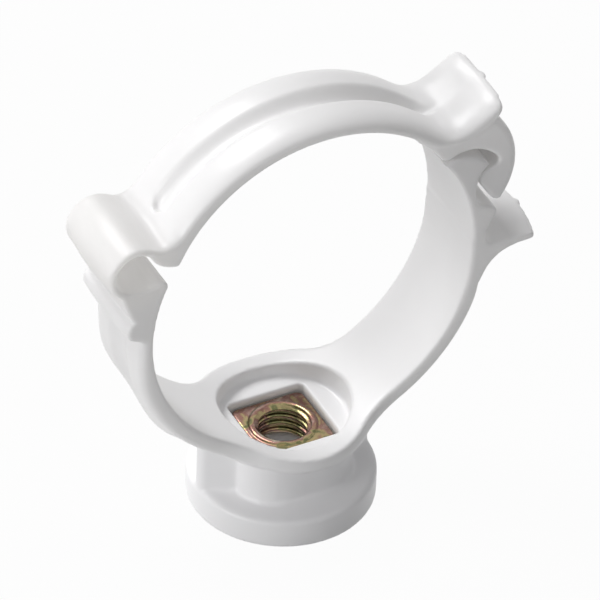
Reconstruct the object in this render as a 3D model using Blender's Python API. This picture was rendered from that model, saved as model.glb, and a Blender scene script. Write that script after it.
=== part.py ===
"""Hinged pipe clip for a 50 mm pipe, moulded in white polypropylene round a square nut.

The part stands on its round foot. The origin is on the foot's axis at its underside, where
the threaded rod goes in. +X points to the latch, -Y is the front and the pipe runs along Y.
Angles round the pipe are in degrees from +X towards +Z.
"""
from math import acos, asin, atan2, cos, degrees, hypot, pi, radians, sin, sqrt

import bmesh
import bpy
from mathutils import Vector

MM = 0.001

# Driving sizes. The pipe's axis lies a little towards the latch from the foot's axis.
PIPE_RADIUS = 25.0 * MM
SEAT_HEIGHT = 14.7 * MM
PIPE_HEIGHT = SEAT_HEIGHT + PIPE_RADIUS
PIPE_SHIFT = 0.37 * MM
BAND_HALF_WIDTH = 7.28 * MM
MESH_GAP = 0.3 * MM

# Lower half-ring
BAND_THIN = 2.0 * MM
BAND_THICK = 2.75 * MM
BAND_EDGE_ROUND = 1.3 * MM
BAND_INNER_ROUND = 0.35 * MM
BAND_GROOVE_DEPTH = 0.9 * MM
BAND_GROOVE_HALF = 3.3 * MM
KEEL_RISE = 1.9 * MM
LIP_ANGLE = 156.2
BAND_END_ANGLE = 364.0

# Hinge loop, its centre given by an angle round the pipe and a height over the pipe's surface
LOOP_ANGLE = 153.93
LOOP_STAND = 5.95 * MM
LOOP_RADIUS = 3.1 * MM
LOOP_WALL = 1.15 * MM
LOOP_CROWN = 0.4 * MM
LOOP_BASE_ANGLE = 238.0
LOOP_FLOOR_ANGLE = 270.0
LIP_LENGTH = 3.15 * MM
LIP_RISE = 0.72 * MM

# Stop tab under the hinge loop
STOP_TAB_REACH = 2.0 * MM
STOP_TAB_TOP = 5.0 * MM
STOP_TAB_BOTTOM = 1.8 * MM
STOP_TAB_ROUND = 1.2 * MM
STOP_TAB_CROWN = 0.35 * MM

# Strap, a half-ring that stands off the pipe at the top
STRAP_INSET = 0.8 * MM
STRAP_SHIFT = 0.9 * MM
STRAP_RISE = 3.5 * MM
STRAP_THICK = 2.75 * MM
STRAP_THIN = 2.2 * MM
STRAP_START_ANGLE = 148.5
STRAP_END_ANGLE = 46.1
STRAP_EDGE_WIDTH = 2.3 * MM
STRAP_EDGE_DROP = 1.9 * MM
STRAP_GROOVE_DEPTH = 1.5 * MM
STRAP_GROOVE_HALF = 2.9 * MM
GROOVE_FLOOR_SHARE = 0.3
NUB_ANGLE = 148.9
NUB_STAND = 0.1 * MM

# Latch nose and hook. The nose's tip is given as the loop's centre is.
NOSE_ANGLE = 28.87
NOSE_STAND = 6.06 * MM
NOSE_BACK = 4.2 * MM
NOSE_BACK_RISE = 2.25 * MM
NOSE_ROOT = 6.6 * MM
NOSE_ROOT_RISE = 2.15 * MM
NOSE_UNDERCUT = 1.9 * MM
NOSE_UNDERCUT_DROP = 4.0 * MM
ARM_FLARE = 6.2 * MM
ARM_FLARE_ANGLE = 32.6
ARM_WAIST_ANGLE = 18.6
ARM_WAIST = 2.0 * MM
ARM_BUMP_ANGLE = 12.95
ARM_BUMP_STAND = 3.78 * MM
ARM_BUMP_RADIUS = 0.6 * MM
LATCH_CLEARANCE = 0.7 * MM
HOOK_WALL = 2.7 * MM
HOOK_CENTRE_BACK = 6.95 * MM
HOOK_CENTRE_DROP = 0.6 * MM
HOOK_CORNER_ANGLE = 38.0
HOOK_TOE_DROP = 6.35 * MM
HOOK_TOE_RADIUS = 0.7 * MM

# Release lever, its tip given as the loop's centre is
LEVER_ANGLE = 39.81
LEVER_STAND = 13.27 * MM
LEVER_THICKNESS = 1.8 * MM
LEVER_HEEL = 0.65 * MM
LEVER_ROUND = 0.7 * MM
LEVER_PLAN_ROUND = 1.2 * MM
LEVER_CROWN = 0.5 * MM
LEVER_DISH = 1.4 * MM
LEVER_UNDERCUT = 1.7 * MM

# Thumb tab beside the latch
TAB_REACH = 9.93 * MM
TAB_THICKNESS = 1.1 * MM
TAB_DROP = 0.35 * MM
TAB_CROWN = 1.2 * MM
TAB_ROOT = 3.4 * MM
TAB_UNDER_ANGLE = -14.5

# Saddle, neck and foot
SADDLE_RADIUS = 12.5 * MM
SADDLE_FILLET = 10.0 * MM
SADDLE_LIP = 2.3 * MM
SADDLE_CORNER = 1.2 * MM
SADDLE_OVERHANG = 1.6 * MM
SADDLE_COVE = 1.4 * MM
SADDLE_SINK = 0.8 * MM
COUNTERBORE_RADIUS = 9.5 * MM
COUNTERBORE_DEPTH = 2.0 * MM
NECK_HALF_LENGTH = 8.95 * MM
NECK_HALF_WIDTH = 9.3 * MM
NECK_RADIUS = 11.3 * MM
RECESS_HALF_WIDTH = 4.3 * MM
RECESS_DEPTH = 1.6 * MM
RECESS_ROUND = 0.8 * MM
FOOT_RADIUS = 13.6 * MM
FOOT_RIM = 4.7 * MM
FOOT_RISE = 1.5 * MM
FOOT_ROUND = 0.5 * MM
FOOT_SHOULDER = 1.2 * MM
FOOT_DISH = 0.25 * MM

# Square nut
NUT_SIDE = 11.4 * MM
NUT_HEIGHT = 5.0 * MM
NUT_DROP = 3.0 * MM
NUT_CORNER = 1.1 * MM
NUT_BORE = 3.55 * MM
NUT_COLLAR_RADIUS = 5.0 * MM
NUT_COLLAR_RISE = 0.3 * MM
NUT_CHAMFER = 0.5 * MM
ROD_HOLE_RADIUS = 4.4 * MM

ARC_STEP = 6.0
AXIS_RADIUS = 0.0005 * MM
OVERSHOOT = 5.0 * MM


def clear_scene():
    for item in list(bpy.data.objects):
        bpy.data.objects.remove(item)


def material(name, colour, roughness, metallic):
    made = bpy.data.materials.new(name)
    made.use_nodes = True
    shader = made.node_tree.nodes["Principled BSDF"]
    shader.inputs["Base Color"].default_value = (*colour, 1.0)
    shader.inputs["Roughness"].default_value = roughness
    shader.inputs["Metallic"].default_value = metallic
    return made


def finish(name, bm, surface=None):
    bmesh.ops.recalc_face_normals(bm, faces=bm.faces)
    mesh = bpy.data.meshes.new(name)
    bm.to_mesh(mesh)
    bm.free()
    made = bpy.data.objects.new(name, mesh)
    bpy.context.scene.collection.objects.link(made)
    if surface:
        mesh.materials.append(surface)
    mesh.shade_smooth()
    mesh.set_sharp_from_angle(angle=radians(35))
    return made


def loft(name, rings, surface=None):
    """Skins closed rings that all have the same number of points, and caps both ends."""
    bm = bmesh.new()
    rows = [[bm.verts.new(point) for point in ring] for ring in rings]
    for one, two in zip(rows, rows[1:]):
        for i in range(len(one)):
            j = (i + 1) % len(one)
            bm.faces.new((one[i], one[j], two[j], two[i]))
    bm.faces.new(rows[0])
    bm.faces.new(rows[-1])
    return finish(name, bm, surface)


def prism(name, outline, half_width, surface=None):
    """Extrudes an (x, z) outline across the band. outline(share) takes 1 at the edges, 0 at mid-width."""
    sides = (-1.0, -0.75, -0.4, 0.0, 0.4, 0.75, 1.0)
    rings = [[(x, side * half_width, z) for x, z in outline(side * side)] for side in sides]
    return loft(name, rings, surface)


def turned(name, profile, surface=None, steps=48):
    """Turns an (r, z) profile about the foot's axis."""
    rings = []
    for i in range(steps):
        angle = 2 * pi * i / steps
        rings.append([(r * cos(angle), r * sin(angle), z) for r, z in profile])
    bm = bmesh.new()
    rows = [[bm.verts.new(point) for point in ring] for ring in rings]
    for i in range(steps):
        one, two = rows[i], rows[(i + 1) % steps]
        for k in range(len(profile) - 1):
            bm.faces.new((one[k], one[k + 1], two[k + 1], two[k]))
    bm.faces.new([row[0] for row in rows])
    bm.faces.new([row[-1] for row in rows])
    return finish(name, bm, surface)


def block(name, half_x, half_y, low, high, corner, surface=None):
    """A block on the foot's axis with rounded upright corners."""
    ring = []
    for quarter in range(4):
        start = 90 * quarter
        centre_x = (half_x - corner) * (1 if quarter in (0, 3) else -1)
        centre_y = (half_y - corner) * (1 if quarter in (0, 1) else -1)
        ring += arc(centre_x, centre_y, corner, start, start + 90, 30)
    rings = [[(x, y, z) for x, y in ring] for z in (low, high)]
    return loft(name, rings, surface)


def join_shapes(target, tool, operation):
    """Adds a Boolean with a hidden tool."""
    step = target.modifiers.new(operation.lower(), "BOOLEAN")
    step.operation = operation
    step.solver = "EXACT"
    step.object = tool
    tool.hide_render = True
    tool.display_type = "WIRE"


def arc(cx, cz, radius, start, end, step=ARC_STEP):
    count = max(2, round(abs(end - start) / step) + 1)
    angles = [radians(start + (end - start) * i / (count - 1)) for i in range(count)]
    return [(cx + radius * cos(a), cz + radius * sin(a)) for a in angles]


def bow(start, end, rise, count=6):
    """Points of an arc from start to end, end left out, bulging to the left of its way by rise."""
    dx, dz = end[0] - start[0], end[1] - start[1]
    length = hypot(dx, dz)
    radius = (length * length / 4 + rise * rise) / (2 * abs(rise))
    side = 1 if rise > 0 else -1
    nx, nz = -dz / length * side, dx / length * side
    cx = (start[0] + end[0]) / 2 - nx * (radius - abs(rise))
    cz = (start[1] + end[1]) / 2 - nz * (radius - abs(rise))
    first = degrees(atan2(start[1] - cz, start[0] - cx))
    last = degrees(atan2(end[1] - cz, end[0] - cx))
    while last - first > 180:
        last -= 360
    while last - first < -180:
        last += 360
    return arc(cx, cz, radius, first, last, abs(last - first) / count)[:-1]


def around(angle, height):
    """A point at an angle round the pipe, this height over the pipe's surface."""
    reach = PIPE_RADIUS + height
    return (PIPE_SHIFT + reach * cos(radians(angle)), PIPE_HEIGHT + reach * sin(radians(angle)))


def beside(point, dx, dz):
    """A point set off from another by dx and dz."""
    return (point[0] + dx, point[1] + dz)


def loop_point(angle, reach):
    """A point at an angle round the hinge loop."""
    x, z = around(LOOP_ANGLE, LOOP_STAND)
    return (x + reach * cos(radians(angle)), z + reach * sin(radians(angle)))


def smooth_step(value):
    value = min(1.0, max(0.0, value))
    return value * value * (3 - 2 * value)


def fade(angle, start, end):
    """0 at start, 1 at end, smooth between."""
    return smooth_step((angle - start) / (end - start))


def band_section(half, thickness, edge_width, edge_drop, groove, groove_half, keel):
    """Closed (y, t) section of a ribbed band, t outward from the inner surface."""
    side = [(half - BAND_INNER_ROUND, 0.0)]
    side += arc(half - BAND_INNER_ROUND, BAND_INNER_ROUND, BAND_INNER_ROUND, -60, 0, 30)
    flat = half - edge_width
    for y, t in arc(0.0, 0.0, 1.0, 0, 90, 18):
        side.append((flat + edge_width * y, thickness - edge_drop + edge_drop * t))
    floor = groove_half * GROOVE_FLOOR_SHARE
    wall = groove_half - floor
    rows = [(flat + groove_half) / 2, groove_half, groove_half - wall * 0.25, groove_half - wall * 0.5,
            groove_half - wall * 0.75, floor]
    crown = [(y, thickness + rise_at(y, flat, groove, groove_half, floor, keel)) for y in rows]
    middle = [(0.0, thickness - groove + keel)]
    other = [(-y, t) for y, t in reversed(side + crown)]
    return side + crown + middle + other


def rise_at(y, flat, groove, groove_half, floor, keel):
    sunk = groove * (1 - smooth_step((y - floor) / (groove_half - floor)))
    return keel * cos(pi / 2 * min(1.0, y / flat)) ** 2 - sunk


def place_section(section, inner, outward, crown=0.0):
    """Sets a section upright at an inner (x, z) point with t along outward, its middle crown further in X."""
    ring = []
    for y, t in section:
        ahead = crown * (1 - (y / BAND_HALF_WIDTH) ** 2)
        ring.append((inner[0] + outward[0] * t + ahead, y, inner[1] + outward[1] * t))
    return ring


def saddle_half_width(arc_length):
    """Half width of the band: a round saddle with concave fillets into the straight band."""
    s = abs(arc_length)
    reach = sqrt((SADDLE_RADIUS + SADDLE_FILLET) ** 2 - (BAND_HALF_WIDTH + SADDLE_FILLET) ** 2)
    touch = reach * SADDLE_RADIUS / (SADDLE_RADIUS + SADDLE_FILLET)
    if s <= touch:
        return sqrt(SADDLE_RADIUS ** 2 - s * s)
    if s >= reach:
        return BAND_HALF_WIDTH
    return BAND_HALF_WIDTH + SADDLE_FILLET - sqrt(SADDLE_FILLET ** 2 - (reach - s) ** 2)


def lower_band():
    """Half-ring from the lip under the hinge to the root of the latch arm."""
    rings = []
    steps = 52
    for i in range(steps + 1):
        angle = LIP_ANGLE + (BAND_END_ANGLE - LIP_ANGLE) * i / steps
        outward = (cos(radians(angle)), sin(radians(angle)))
        away = abs(angle - 270)
        thickness = BAND_THICK + (BAND_THIN - BAND_THICK) * fade(away, 68, 90)
        groove = BAND_GROOVE_DEPTH * fade(away, 55, 66) * (1 - fade(away, 84, 90))
        keel = KEEL_RISE * (1 - fade(away, 40, 64))
        half = saddle_half_width(PIPE_RADIUS * radians(angle - 270) + PIPE_SHIFT)
        edge = BAND_EDGE_ROUND
        section = band_section(half, thickness, edge, edge, groove, BAND_GROOVE_HALF, keel)
        rings.append(place_section(section, around(angle, 0.0), outward))
    return loft("lower_band", rings)


def loop_seat(share):
    """Lip, floor of the hinge loop and the stop tab under it."""
    proud = STOP_TAB_CROWN * (1 - share)
    lip = around(LIP_ANGLE, 0.0)
    line = [lip]
    for share, rise in ((0.14, 0.8), (0.37, 1.0), (0.67, 0.76), (1.0, 0.4)):
        line.append(beside(lip, -LIP_LENGTH * share, LIP_RISE * rise))
    x, z = loop_point(0, 0)
    line += arc(x, z, LOOP_RADIUS, LOOP_FLOOR_ANGLE, LOOP_BASE_ANGLE, 8)
    edge_x = PIPE_SHIFT - PIPE_RADIUS - BAND_THIN - STOP_TAB_REACH - proud
    top, bottom = PIPE_HEIGHT + STOP_TAB_TOP, PIPE_HEIGHT + STOP_TAB_BOTTOM
    r = STOP_TAB_ROUND
    line += bow(loop_point(LOOP_BASE_ANGLE, LOOP_RADIUS + LOOP_WALL), (edge_x + r, top), -r / 5, 3)
    line += arc(edge_x + r, top - r, r, 90, 180, 30)
    line += arc(edge_x + r, bottom + r, r, 180, 260, 26)
    line.append((PIPE_SHIFT - PIPE_RADIUS - BAND_THIN / 2, bottom - BAND_THIN / 2))
    line += [around(angle, 0.0) for angle in (176, 173, 167, 161)]
    return line


def nose_tip():
    return around(NOSE_ANGLE, NOSE_STAND)


def latch_arm(share):
    """Arm with the latch nose on top, the rest for the hook's tip and the thumb tab."""
    tip = nose_tip()
    line = [around(angle, 0.0) for angle in (-16, -8)]
    line += arc(PIPE_SHIFT - ARM_FLARE, PIPE_HEIGHT, PIPE_RADIUS + ARM_FLARE, 0, ARM_FLARE_ANGLE, 4)
    root = beside(tip, -NOSE_ROOT, NOSE_ROOT_RISE)
    back = beside(tip, -NOSE_BACK, NOSE_BACK_RISE)
    line += bow(root, back, NOSE_BACK / 40, 3)
    line += bow(back, tip, NOSE_BACK / 8, 5)
    line.append(tip)
    line.append(beside(tip, -NOSE_UNDERCUT * 0.06, -NOSE_UNDERCUT_DROP * 0.08))
    under = beside(tip, -NOSE_UNDERCUT, -NOSE_UNDERCUT_DROP)
    waist = around(ARM_WAIST_ANGLE, ARM_WAIST)
    line += bow(beside(tip, -NOSE_UNDERCUT * 0.42, -NOSE_UNDERCUT_DROP * 0.18), under, -NOSE_UNDERCUT / 7, 4)
    line += bow(under, waist, -ARM_WAIST / 13, 3)
    shelf = around(ARM_WAIST_ANGLE - 2.3, ARM_WAIST * 1.25)
    x, z = around(ARM_BUMP_ANGLE, ARM_BUMP_STAND)
    bump = arc(x, z, ARM_BUMP_RADIUS, 50, -50, 25)
    line += bow(waist, shelf, -ARM_WAIST / 10, 3)
    line += bow(shelf, bump[0], ARM_WAIST / 10, 3)
    tab_root = around(0.7, TAB_ROOT)
    line += bump[:-1]
    line += bow(bump[-1], tab_root, -TAB_ROOT * 0.4, 7)
    top = TAB_THICKNESS / 2
    tab_x = PIPE_SHIFT + PIPE_RADIUS + TAB_REACH - top + TAB_CROWN * (1 - share)
    tab_z = PIPE_HEIGHT - TAB_DROP
    line += bow(tab_root, (tab_x, tab_z + top), -top / 3, 4)
    line += arc(tab_x, tab_z, top, 90, -90, 36)
    end = around(TAB_UNDER_ANGLE, BAND_THIN)
    line += bow((tab_x - top * 2 - TAB_CROWN * (1 - share), tab_z - top * 1.1), end, -TAB_REACH * 0.2, 8)
    line.append(end)
    return line


def saddle_body():
    """Turned body under the saddle, its top trimmed to lie inside the band."""
    high = SEAT_HEIGHT + OVERSHOOT
    lip_z = SEAT_HEIGHT - SADDLE_LIP
    edge = SADDLE_RADIUS - BAND_INNER_ROUND
    profile = [(AXIS_RADIUS, high), (edge, high)]
    profile += arc(edge - SADDLE_CORNER, lip_z + SADDLE_CORNER, SADDLE_CORNER, 0, -60, 15)
    profile += bow((SADDLE_RADIUS - SADDLE_OVERHANG, lip_z - SADDLE_COVE * 0.1),
                   (NECK_HALF_WIDTH, lip_z - SADDLE_COVE), SADDLE_COVE / 3, 5)
    profile += [(NECK_HALF_WIDTH, lip_z - SADDLE_COVE), (AXIS_RADIUS, lip_z - SADDLE_COVE)]
    body = turned("saddle_body", profile)
    reach = PIPE_RADIUS + SADDLE_SINK
    rings = [[(x, y, z) for x, z in arc(PIPE_SHIFT, PIPE_HEIGHT, reach, 0, 355, 5)]
             for y in (-2 * SADDLE_RADIUS, 2 * SADDLE_RADIUS)]
    join_shapes(body, loft("band_space", rings), "DIFFERENCE")
    return body


def neck_corner(angle_x, angle_y, sign_x, sign_y):
    """Corner of the neck's plan, an arc about the foot's axis between the two flat faces."""
    points = arc(0.0, 0.0, NECK_RADIUS, angle_x, angle_y, 4)
    return [(sign_x * x, sign_y * y) for x, y in points]


def neck():
    """Square neck round the nut, its corners trimmed round, with a recess in both ends."""
    first = degrees(acos(NECK_HALF_LENGTH / NECK_RADIUS))
    last = degrees(asin(NECK_HALF_WIDTH / NECK_RADIUS))
    corner = neck_corner(first, last, 1, 1)
    r = RECESS_ROUND
    floor_x = NECK_HALF_LENGTH - RECESS_DEPTH
    side = arc(floor_x + r, RECESS_HALF_WIDTH - r, r, 180, 90, 30)
    lip = arc(NECK_HALF_LENGTH - r / 2, RECESS_HALF_WIDTH + r / 2, r / 2, -90, 0, 30)
    quarter = side + lip + corner
    half = quarter + [(-x, y) for x, y in reversed(quarter)]
    ring = half + [(x, -y) for x, y in reversed(half)]
    low, high = FOOT_RIM * 0.8, SEAT_HEIGHT - SADDLE_LIP + SADDLE_CORNER / 2
    return loft("neck", [[(x, y, z) for x, y in ring] for z in (low, high)])


def foot():
    """Round foot with a sloped shoulder into the neck."""
    edge = FOOT_RADIUS - FOOT_ROUND
    inner = NECK_HALF_WIDTH
    profile = [(AXIS_RADIUS, 0.0)]
    profile += arc(edge, FOOT_ROUND, FOOT_ROUND, -90, 0, 30)
    profile += arc(edge, FOOT_RIM - FOOT_ROUND, FOOT_ROUND, 0, 75, 25)
    profile += bow((FOOT_RADIUS - FOOT_SHOULDER, FOOT_RIM + FOOT_ROUND * 0.2), (inner, FOOT_RIM + FOOT_RISE),
                   -FOOT_DISH, 4)
    profile += [(inner, FOOT_RIM + FOOT_RISE), (AXIS_RADIUS, FOOT_RIM + FOOT_RISE)]
    return turned("foot", profile, steps=60)


def nut_top():
    return SEAT_HEIGHT - NUT_DROP


def clip_base(surface):
    """Foot, neck, saddle, lower half-ring and latch arm, moulded as one."""
    base = lower_band()
    base.name = base.data.name = "clip_base"
    base.data.materials.append(surface)
    inset = BAND_HALF_WIDTH * 0.997
    join_shapes(base, prism("loop_seat", loop_seat, inset), "UNION")
    join_shapes(base, prism("latch_arm", latch_arm, inset), "UNION")
    join_shapes(base, saddle_body(), "UNION")
    join_shapes(base, neck(), "UNION")
    join_shapes(base, foot(), "UNION")

    ledge = SEAT_HEIGHT - COUNTERBORE_DEPTH
    bore = turned("counterbore", [(AXIS_RADIUS, ledge + OVERSHOOT), (COUNTERBORE_RADIUS, ledge + OVERSHOOT),
                                  (COUNTERBORE_RADIUS, ledge), (AXIS_RADIUS, ledge)])
    join_shapes(base, bore, "DIFFERENCE")
    pocket_half = NUT_SIDE / 2 + MESH_GAP
    pocket_floor = nut_top() - NUT_HEIGHT - MESH_GAP
    high = ledge + OVERSHOOT / 2
    pocket = block("nut_pocket", pocket_half, pocket_half, pocket_floor, high, NUT_CORNER / 2)
    join_shapes(base, pocket, "DIFFERENCE")
    high = pocket_floor + NUT_HEIGHT / 4
    rod = turned("rod_hole", [(AXIS_RADIUS, high), (ROD_HOLE_RADIUS, high),
                              (ROD_HOLE_RADIUS, -OVERSHOOT), (AXIS_RADIUS, -OVERSHOOT)])
    join_shapes(base, rod, "DIFFERENCE")
    return base


def hinge_loop(surface):
    """Thin wall between base and strap that bends when the clip opens."""
    trim = degrees(MESH_GAP / (LOOP_RADIUS + LOOP_WALL / 2))
    rings = []
    steps = 14
    for i in range(steps + 1):
        angle = 90 + (LOOP_BASE_ANGLE - trim - 90) * i / steps
        outward = (cos(radians(angle)), sin(radians(angle)))
        section = loop_section(LOOP_WALL)
        rings.append(place_section(section, loop_point(angle, LOOP_RADIUS), outward))
    return loft("hinge_loop", rings, surface)


def loop_section(thickness):
    return band_section(BAND_HALF_WIDTH, thickness, LOOP_WALL * 0.3, LOOP_WALL * 0.3, 0.0, BAND_GROOVE_HALF,
                        LOOP_CROWN)


def strap_point(angle, thickness):
    reach = PIPE_RADIUS - STRAP_INSET + thickness
    return (PIPE_SHIFT + STRAP_SHIFT + reach * cos(radians(angle)),
            PIPE_HEIGHT + STRAP_RISE + reach * sin(radians(angle)))


def strap_thickness(share):
    return STRAP_THICK + (STRAP_THIN - STRAP_THICK) * share


def strap_stations():
    """Pairs of inner and outer (x, z) points from the hinge loop to the lever's root."""
    wall = LOOP_RADIUS + LOOP_WALL
    start = 90 - degrees(MESH_GAP / wall)
    pairs = [(loop_point(angle, LOOP_RADIUS), loop_point(angle, wall)) for angle in (start, 78, 67, 57)]
    nub = around(NUB_ANGLE, NUB_STAND)
    crest = strap_point(STRAP_START_ANGLE, STRAP_THICK)
    under = bow(loop_point(48, LOOP_RADIUS), nub, -LOOP_RADIUS * 0.21, 6)
    over = bow(loop_point(50, wall), crest, -LOOP_WALL * 0.48, 6)
    pairs += list(zip(under, over))
    pairs.append((nub, crest))
    nub_angle = degrees(atan2(nub[1] - PIPE_HEIGHT - STRAP_RISE, nub[0] - PIPE_SHIFT - STRAP_SHIFT))
    steps = 24
    for i in range(1, steps + 1):
        share = i / steps
        inner = strap_point(nub_angle + (STRAP_END_ANGLE - nub_angle) * share, 0)
        outer = strap_point(STRAP_START_ANGLE + (STRAP_END_ANGLE - STRAP_START_ANGLE) * share,
                            strap_thickness(share))
        pairs.append((inner, outer))
    return pairs


def strap_band():
    """Half-ring with two ribs, thin and plain at the hinge, with the lever on its end."""
    rings = []
    band = strap_stations()
    lever = lever_stations(band[-1])
    for i, (inner, outer) in enumerate(band + lever):
        dx, dz = outer[0] - inner[0], outer[1] - inner[1]
        thickness = hypot(dx, dz)
        angle = degrees(atan2(outer[1] - PIPE_HEIGHT, outer[0] - PIPE_SHIFT))
        ribbed = fade(angle, 147, 137)
        depth = STRAP_GROOVE_DEPTH * fade(angle, 43, 54) * fade(angle, 142.5, 135.5)
        half_groove = STRAP_GROOVE_HALF * (0.3 + 0.7 * fade(angle, 42, 56) * fade(angle, 144, 132))
        thin = LOOP_WALL * 0.3
        width = thin + (STRAP_EDGE_WIDTH - thin) * ribbed
        drop = thin + (STRAP_EDGE_DROP - thin) * ribbed
        half, crown = BAND_HALF_WIDTH, 0.0
        if i >= len(band):
            half, crown = lever_plan(outer[0])
        section = band_section(half, thickness, width, min(drop, thickness * 0.7), depth, half_groove,
                               LOOP_CROWN * (1 - ribbed))
        rings.append(place_section(section, inner, (dx / thickness, dz / thickness), crown))
    return loft("strap", rings)


def lever_tip():
    return around(LEVER_ANGLE, LEVER_STAND)


def lever_plan(x):
    """Half width and crown of the lever at a given x, with its corners rounded in plan."""
    tip = lever_tip()[0]
    into = min(LEVER_PLAN_ROUND, max(0.0, x - (tip - LEVER_PLAN_ROUND)))
    half = BAND_HALF_WIDTH - LEVER_PLAN_ROUND + sqrt(LEVER_PLAN_ROUND ** 2 - into ** 2)
    return half, LEVER_CROWN * fade(x, tip - 2 * LEVER_PLAN_ROUND, tip)


def lever_stations(last):
    """The release lever: a concave thumb rest rising to a rounded tip."""
    tip = lever_tip()
    half = LEVER_THICKNESS / 2
    r = LEVER_ROUND
    over = beside(tip, -LEVER_PLAN_ROUND, half)
    under = beside(tip, -LEVER_PLAN_ROUND, -half - LEVER_HEEL)
    top = bow(last[1], over, -LEVER_DISH, 10)[1:]
    low = bow(last[0], under, -LEVER_UNDERCUT, 10)[1:]
    pairs = list(zip(low, top))
    pairs.append((under, over))
    for turn in (35, 65):
        back = r * (1 - sin(radians(turn)))
        drop = r * (1 - cos(radians(turn)))
        pairs.append((beside(tip, -back, drop - half), beside(tip, -back, half - drop)))
    return pairs


def hook(share):
    """Snap hook that closes over the latch nose."""
    gap = LATCH_CLEARANCE
    tip = nose_tip()
    root = beside(tip, -NOSE_ROOT - gap * 0.4, NOSE_ROOT_RISE + gap)
    back = beside(tip, -NOSE_BACK, NOSE_BACK_RISE + gap)
    over = beside(tip, gap * 2, gap * 0.15)
    line = [strap_point(54, STRAP_THIN * 0.4), strap_point(54, 0), strap_point(48, 0), strap_point(43, 0)]
    line.append(strap_point(HOOK_CORNER_ANGLE, -gap / 4))
    line += bow(root, back, NOSE_BACK / 40, 3)
    line += bow(back, over, NOSE_BACK / 4, 6)
    line.append(over)
    line.append(beside(tip, gap * 2, -gap / 2))
    barb = [(0.11, 0.285), (-0.32, 0.35), (-0.58, 0.5), (-0.66, 0.7), (-0.55, 0.92)]
    line += [beside(tip, NOSE_UNDERCUT * across, -NOSE_UNDERCUT_DROP * down) for across, down in barb]
    toe = beside(tip, gap * 2, -HOOK_TOE_DROP)
    line += arc(toe[0], toe[1], HOOK_TOE_RADIUS, 205, 330, 25)
    reach = HOOK_CENTRE_BACK + 2 * gap + HOOK_WALL
    x, z = beside(tip, -HOOK_CENTRE_BACK, -HOOK_CENTRE_DROP)
    line += arc(x, z, reach, -24, 45, 6.9)
    line.append(beside(lever_tip(), -4.2 * LEVER_ROUND, -LEVER_THICKNESS))
    inside = strap_point(STRAP_END_ANGLE, STRAP_THIN / 2)
    line.append(beside(inside, LEVER_THICKNESS * 1.5, -LEVER_THICKNESS * 0.3))
    line.append(inside)
    return line


def strap(surface):
    """Ribbed half-ring that swings about the hinge loop, with hook and lever."""
    made = strap_band()
    made.data.materials.append(surface)
    join_shapes(made, prism("hook", hook, BAND_HALF_WIDTH * 0.997), "UNION")
    return made


def square_nut(surface):
    """Square nut with a raised ring round its bore."""
    top = nut_top()
    low = top - NUT_HEIGHT
    nut = block("square_nut", NUT_SIDE / 2, NUT_SIDE / 2, low, top, NUT_CORNER, surface)
    rim = top + NUT_COLLAR_RISE
    sunk = top - NUT_COLLAR_RISE
    collar = turned("nut_collar", [(AXIS_RADIUS, rim), (NUT_COLLAR_RADIUS - NUT_COLLAR_RISE, rim),
                                   (NUT_COLLAR_RADIUS, sunk), (AXIS_RADIUS, sunk)])
    join_shapes(nut, collar, "UNION")
    wide = NUT_BORE + NUT_CHAMFER + NUT_HEIGHT / 5
    bore = turned("nut_bore", [(AXIS_RADIUS, rim + NUT_HEIGHT / 5), (wide, rim + NUT_HEIGHT / 5),
                               (NUT_BORE, rim - NUT_CHAMFER), (NUT_BORE, low - NUT_HEIGHT / 5),
                               (AXIS_RADIUS, low - NUT_HEIGHT / 5)])
    join_shapes(nut, bore, "DIFFERENCE")
    return nut


def set_hinge_origin(item):
    """Moves an object's origin onto the hinge axis and leaves the shape where it is."""
    x, z = loop_point(0, 0)
    pivot = Vector((x, 0.0, z))
    for vertex in item.data.vertices:
        vertex.co -= pivot
    item.location = pivot


def build():
    clear_scene()
    white = material("white_polypropylene", (0.86, 0.86, 0.85), 0.32, 0.0)
    hinge_white = material("hinge_polypropylene", (0.88, 0.88, 0.87), 0.3, 0.0)
    strap_white = material("strap_polypropylene", (0.86, 0.86, 0.85), 0.32, 0.0)
    plated = material("yellow_passivated_steel", (0.62, 0.5, 0.26), 0.28, 1.0)
    clip_base(white)
    set_hinge_origin(hinge_loop(hinge_white))
    set_hinge_origin(strap(strap_white))
    square_nut(plated)


build()
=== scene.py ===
"""Looks of the pipe clip: one white moulding in three moving pieces, and a threaded square nut.

Shapes are made in millimetres in the CAD frame and turned into metres when a mesh is built.
The moulding's closed shells overlap. A voxel remesh joins them and a light smoothing gives
every edge and corner the small round of a moulded part.
"""
from math import atan2, cos, degrees, hypot, pi, radians, sin, sqrt

import bmesh
import bpy
from mathutils import Matrix, Vector


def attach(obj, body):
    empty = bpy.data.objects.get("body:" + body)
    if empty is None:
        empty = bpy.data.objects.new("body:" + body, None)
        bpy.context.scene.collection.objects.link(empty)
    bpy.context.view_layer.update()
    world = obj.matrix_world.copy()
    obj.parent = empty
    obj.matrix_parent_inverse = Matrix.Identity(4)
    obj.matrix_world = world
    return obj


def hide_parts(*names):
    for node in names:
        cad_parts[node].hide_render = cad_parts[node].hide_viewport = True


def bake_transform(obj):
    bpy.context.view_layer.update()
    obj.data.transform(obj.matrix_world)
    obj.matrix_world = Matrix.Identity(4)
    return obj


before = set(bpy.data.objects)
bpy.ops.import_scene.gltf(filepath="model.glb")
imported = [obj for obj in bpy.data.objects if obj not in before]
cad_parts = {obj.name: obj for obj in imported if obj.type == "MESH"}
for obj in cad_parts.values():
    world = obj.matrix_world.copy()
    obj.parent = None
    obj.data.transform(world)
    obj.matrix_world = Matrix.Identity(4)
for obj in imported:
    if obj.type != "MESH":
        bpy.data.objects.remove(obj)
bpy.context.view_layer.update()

MM = 0.001

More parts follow.
